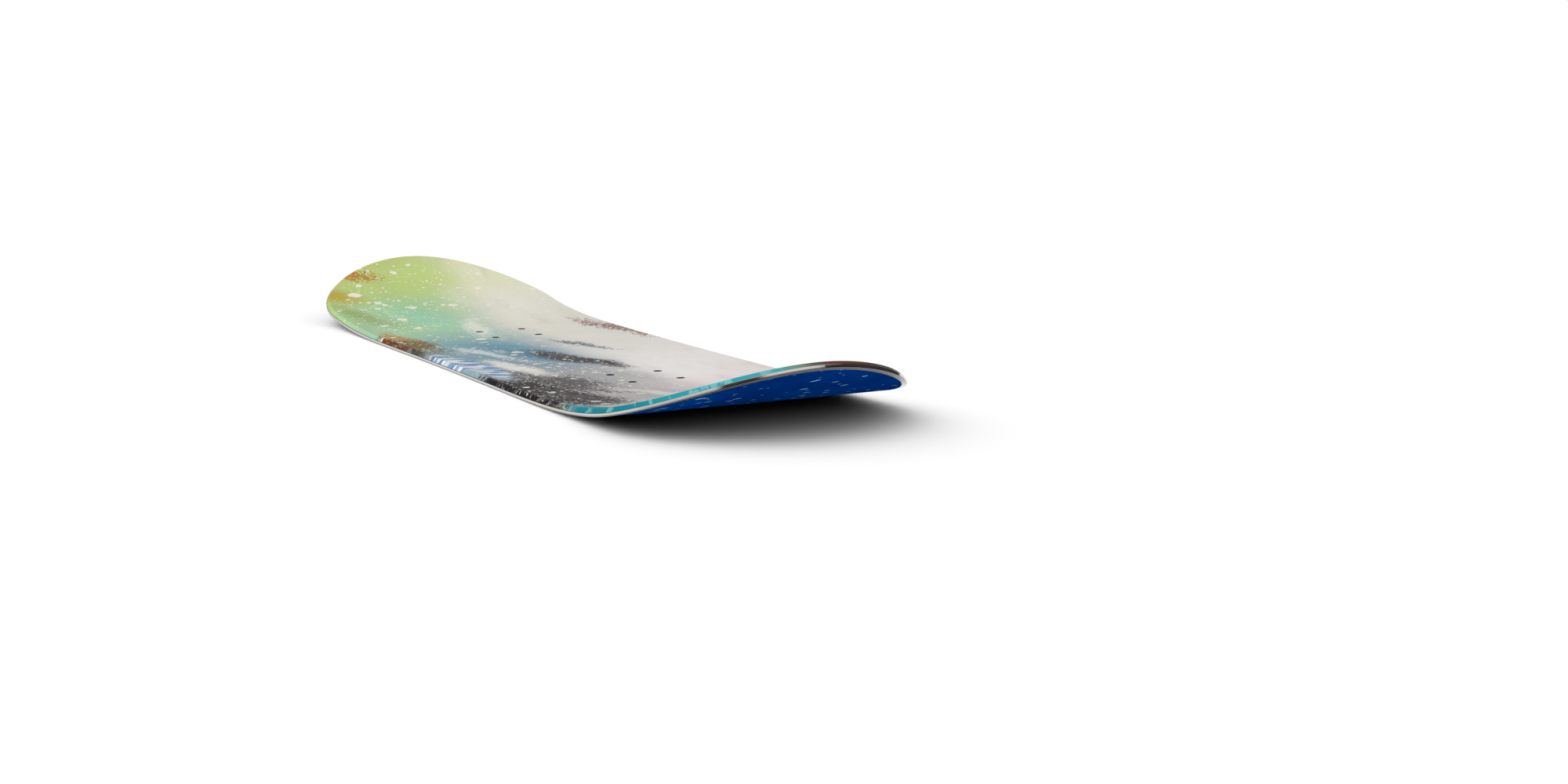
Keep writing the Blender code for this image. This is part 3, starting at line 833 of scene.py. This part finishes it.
def makeInsertBlank():
    # turned up ring by ring: flange, barrel, mouth, and the bore down to where it started
    clearSelection()
    bpy.ops.mesh.primitive_circle_add(vertices=insert["sides"], radius=insert["flange"],
                                      location=(0, 0, insert["bottom"]))
    blank = bpy.context.object
    bpy.ops.object.mode_set(mode="EDIT")
    bpy.ops.mesh.select_all(action="SELECT")

    boreLength = insert["top"] - insert["mouthChamfer"] - insert["bottom"]
    boreRows = round(boreLength / insert["pitch"] * insert["rowsPerPitch"])
    rings = [
        (insert["flange"], insert["bottom"] + insert["flangeThick"]),
        (insert["barrel"], insert["bottom"] + insert["flangeThick"]),
        (insert["barrel"], insert["top"] - 0.0001),
        (insert["barrel"] - 0.0001, insert["top"]),
        (insert["threadOuter"] + 0.0001, insert["top"]),
    ]
    for row in range(boreRows + 1):
        height = insert["top"] - insert["mouthChamfer"] - boreLength * row / boreRows
        rings.append((insert["threadOuter"], height))
    radius, height = insert["flange"], insert["bottom"]
    for nextRadius, nextHeight in rings:
        bpy.ops.mesh.extrude_region_move(
            TRANSFORM_OT_translate={"value": (0, 0, nextHeight - height)})
        share = nextRadius / radius
        bpy.ops.transform.resize(value=(share, share, 1), center_override=(0, 0, nextHeight))
        radius, height = nextRadius, nextHeight
    bpy.ops.mesh.select_all(action="DESELECT")
    bpy.ops.mesh.select_non_manifold()
    bpy.ops.mesh.bridge_edge_loops()
    bpy.ops.mesh.select_all(action="SELECT")
    bpy.ops.mesh.normals_make_consistent(inside=False)
    bpy.ops.object.mode_set(mode="OBJECT")
    bpy.ops.object.transform_apply(location=True, rotation=True, scale=True)

    deep = insert["threadOuter"] - insert["threadInner"]
    for vertex in blank.data.vertices:
        away = math.hypot(vertex.co.x, vertex.co.y)
        if away > insert["threadOuter"] + 0.00005:
            continue
        turn = math.atan2(vertex.co.y, vertex.co.x) / (2 * math.pi)
        phase = (vertex.co.z / insert["pitch"] - turn) % 1
        ridge = max(0, 1 - abs(phase - 0.5) / 0.42)
        share = (insert["threadOuter"] - deep * ridge) / away
        vertex.co.x *= share
        vertex.co.y *= share
    return blank


def makeInserts():
    blank = makeInsertBlank()
    material = makeInsertFinish()
    for name, x, y in insertPlaces():
        pick(blank)
        bpy.ops.object.duplicate()
        piece = bpy.context.object
        piece.name = "insert_" + name.replace("_foot", "")
        standOn(piece, x, y)
        finishPiece(piece, material, f"insert_{name}")
    bpy.data.objects.remove(blank)


makeInserts()
print("inserts turned")


# Inner pieces keep their own shape and take a finish

innerLook = {
    "heartLight": "#B98A5A", "heartDark": "#8F6238",
    "lightLight": "#D9C398", "lightDark": "#B89A68",
    "resin": "#A9AE86", "glass": "#C9CDB0",
    "rubber": "#1B1B1C", "plastic": "#4A4B4E",
}


def makeWood(name, lightCode, darkCode, ringScale):
    material, tree, shader, place = newFinish(name, roughness=0.6)
    spot = place.outputs["Object"]
    grain = noise(tree, vectorCalc(tree, "MULTIPLY", spot, (6.0, ringScale, ringScale)), 1.0, 4.0, 0.6, 0.6)
    pores = noise(tree, vectorCalc(tree, "MULTIPLY", spot, (90.0, 2600.0, 2600.0)), 1.0, 2.0, 0.5)
    colour = blendColour(tree, fade(tree, grain, 0.35, 0.65), tint(darkCode), tint(lightCode))
    colour = blendColour(tree, fade(tree, pores, 0.6, 0.72, high=0.5), colour, tint(darkCode))
    tree.links.new(colour, shader.inputs["Base Color"])
    tree.links.new(calc(tree, "ADD", 0.5, calc(tree, "MULTIPLY", pores, 0.2)), shader.inputs["Roughness"])
    addBump(tree, shader, pores, 0.00004, 0.6)
    return material


def makeLaminate():
    material, tree, shader, place = newFinish("glassLaminate", roughness=0.4)
    axes = axesOf(tree, place.outputs["Object"])
    warp = calc(tree, "SINE", calc(tree, "MULTIPLY", calc(tree, "ADD", axes[0], axes[1]), 2400.0))
    weft = calc(tree, "SINE", calc(tree, "MULTIPLY", calc(tree, "SUBTRACT", axes[0], axes[1]), 2400.0))
    weave = fade(tree, calc(tree, "MULTIPLY", warp, weft), -0.6, 0.6)
    colour = blendColour(tree, weave, tint(innerLook["resin"]), tint(innerLook["glass"]))
    tree.links.new(colour, shader.inputs["Base Color"])
    tree.links.new(calc(tree, "ADD", 0.32, calc(tree, "MULTIPLY", weave, 0.15)), shader.inputs["Roughness"])
    addBump(tree, shader, weave, 0.00004, 0.5)
    return material


def makePlain(name, code, grainScale, roughness):
    material, tree, shader, place = newFinish(name, roughness=roughness)
    grain = noise(tree, place.outputs["Object"], grainScale, 3.0, 0.6)
    base = tint(code)
    lighter = tuple(min(1.0, part * 1.35) for part in base[:3]) + (1,)
    tree.links.new(blendColour(tree, grain, base, lighter), shader.inputs["Base Color"])
    rough = calc(tree, "ADD", roughness - 0.1, calc(tree, "MULTIPLY", grain, 0.2))
    tree.links.new(rough, shader.inputs["Roughness"])
    addBump(tree, shader, grain, 0.00003, 0.5)
    return material


def dressInnerNodes():
    heart = makeWood("beechStrip", innerLook["heartLight"], innerLook["heartDark"], 90.0)
    light = makeWood("poplarStrip", innerLook["lightLight"], innerLook["lightDark"], 55.0)
    laminate = makeLaminate()
    rubber = makePlain("dampingRubber", innerLook["rubber"], 900.0, 0.8)
    plastic = makePlain("sidewallPlastic", innerLook["plastic"], 600.0, 0.5)
    starts = {"core_heart": heart, "core_strip": light,
              "lower_laminate": laminate, "upper_laminate": laminate,
              "edge_damping": rubber, "sidewall": plastic, "nose_spacer": plastic, "tail_spacer": plastic}
    for name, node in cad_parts.items():
        for start, material in starts.items():
            if name.startswith(start):
                node.data.materials.clear()
                node.data.materials.append(material)


dressInnerNodes()
print("inner pieces dressed")


# Floor, light and camera

studio = {
    "floorSize": 80.0,
    "floorDrop": 0.0001,
    "bounce": 0.45,                       # even light from the floor, beside what it scatters
    "scatter": 0.6,
    "domeLevel": 0.64,
    "nearLevel": 1.62,                    # how much more comes from the near side
    "nearTurn": -107.0,                   # degrees from +X
    "nearHeight": 12.0,
    "horizon": (0.09, 0.41),              # sine of the height where the dome starts and is full
    "roomDim": 0.05,                      # what the gloss sees beside the lamps
    "ceilingLevel": 1.0,
    "ceiling": (0.715, 0.750),            # sine of the height where the ceiling lamp starts
    "walls": [
        # the room's pale walls: turn, height, cosine of the angle from the middle at rim and full, level
        (-98.0, 10.0, 0.68, 0.76, 0.85),
        (160.0, 3.0, 0.78, 0.95, 0.20),
    ],
}


def heading(turn, height):
    turn, height = math.radians(turn), math.radians(height)
    return math.cos(turn) * math.cos(height), math.sin(turn) * math.cos(height), math.sin(height)


def makeFloor():
    clearSelection()
    bpy.ops.mesh.primitive_plane_add(size=studio["floorSize"], location=(0, 0, -studio["floorDrop"]))
    floor = bpy.context.object
    floor.name = "floor"
    material = bpy.data.materials.new("paleFloor")
    material.use_nodes = True
    tree = material.node_tree
    tree.nodes.clear()
    rays = addNode(tree, "ShaderNodeLightPath").outputs
    seen = calc(tree, "MAXIMUM", rays["Is Camera Ray"], rays["Is Glossy Ray"])
    matt = addNode(tree, "ShaderNodeBsdfDiffuse", {"Color": (1, 1, 1, 1)})
    scatter = addNode(tree, "ShaderNodeBsdfDiffuse", {"Color": (*[studio["scatter"]] * 3, 1)})
    glow = addNode(tree, "ShaderNodeEmission", {"Strength": studio["bounce"]})
    even = addNode(tree, "ShaderNodeAddShader", {0: scatter.outputs[0], 1: glow.outputs[0]})
    clear = addNode(tree, "ShaderNodeBsdfTransparent")
    under = addNode(tree, "ShaderNodeNewGeometry").outputs["Backfacing"]
    above = addNode(tree, "ShaderNodeMixShader", {0: seen, 1: even.outputs[0], 2: matt.outputs[0]})
    mixed = addNode(tree, "ShaderNodeMixShader", {0: under, 1: above.outputs[0], 2: clear.outputs[0]})
    finish = addNode(tree, "ShaderNodeOutputMaterial")
    tree.links.new(mixed.outputs[0], finish.inputs["Surface"])
    floor.data.materials.append(material)


def makeWorld():
    world = bpy.data.worlds.new("studio")
    bpy.context.scene.world = world
    world.use_nodes = True
    tree = world.node_tree
    tree.nodes.clear()
    rays = addNode(tree, "ShaderNodeLightPath").outputs
    direct = calc(tree, "MAXIMUM", rays["Is Camera Ray"], rays["Is Transmission Ray"])
    toward = addNode(tree, "ShaderNodeTexCoord").outputs["Generated"]
    rise = axesOf(tree, toward)[2]

    def facing(turn, height):
        inputs = {0: toward, 1: heading(turn, height)}
        node = addNode(tree, "ShaderNodeVectorMath", inputs, operation="DOT_PRODUCT")
        return calc(tree, "MAXIMUM", node.outputs["Value"], 0.0)

    near = calc(tree, "MULTIPLY", facing(studio["nearTurn"], studio["nearHeight"]), studio["nearLevel"])
    dome = calc(tree, "MULTIPLY", calc(tree, "ADD", near, studio["domeLevel"]),
                fade(tree, rise, *studio["horizon"]))
    ceiling = fade(tree, rise, *studio["ceiling"], low=studio["roomDim"], high=studio["ceilingLevel"])
    room = ceiling
    for turn, height, rimCosine, fullCosine, level in studio["walls"]:
        wall = fade(tree, facing(turn, height), rimCosine, fullCosine, high=level)
        room = calc(tree, "MAXIMUM", room, wall)
    light = addNode(tree, "ShaderNodeBackground", {"Strength": dome})
    mirrored = addNode(tree, "ShaderNodeBackground", {"Strength": room})
    backdrop = addNode(tree, "ShaderNodeBackground", {"Strength": 1.0})
    for node in (light, mirrored, backdrop):
        node.inputs["Color"].default_value = (1, 1, 1, 1)
    glossed = addNode(tree, "ShaderNodeMixShader", {0: rays["Is Glossy Ray"], 1: light.outputs[0],
                                                    2: mirrored.outputs[0]})
    mixed = addNode(tree, "ShaderNodeMixShader", {0: direct, 1: glossed.outputs[0], 2: backdrop.outputs[0]})
    finish = addNode(tree, "ShaderNodeOutputWorld")
    tree.links.new(mixed.outputs[0], finish.inputs["Surface"])


viewpoint = {
    "place": (1.48201, -0.63040, 0.23893),
    "turn": 29.2448,                      # degrees from the board's length to the line of sight
    "down": 9.4102,
    "lens": 45.269,
    "sensor": 36.0,
}


def makeCamera():
    data = bpy.data.cameras.new("photoCamera")
    data.sensor_fit = "HORIZONTAL"
    data.sensor_width = viewpoint["sensor"]
    data.lens = viewpoint["lens"]
    data.clip_start = 0.05
    data.clip_end = 200.0
    camera = bpy.data.objects.new("photoCamera", data)
    bpy.context.scene.collection.objects.link(camera)
    turn, down = math.radians(viewpoint["turn"]), math.radians(viewpoint["down"])
    sight = Vector((-math.cos(turn) * math.cos(down), math.sin(turn) * math.cos(down), -math.sin(down)))
    camera.location = viewpoint["place"]
    camera.rotation_euler = sight.to_track_quat("-Z", "Y").to_euler()
    bpy.context.scene.camera = camera


makeFloor()
makeWorld()
makeCamera()
bpy.context.scene.view_settings.view_transform = "Standard"
print("studio set")
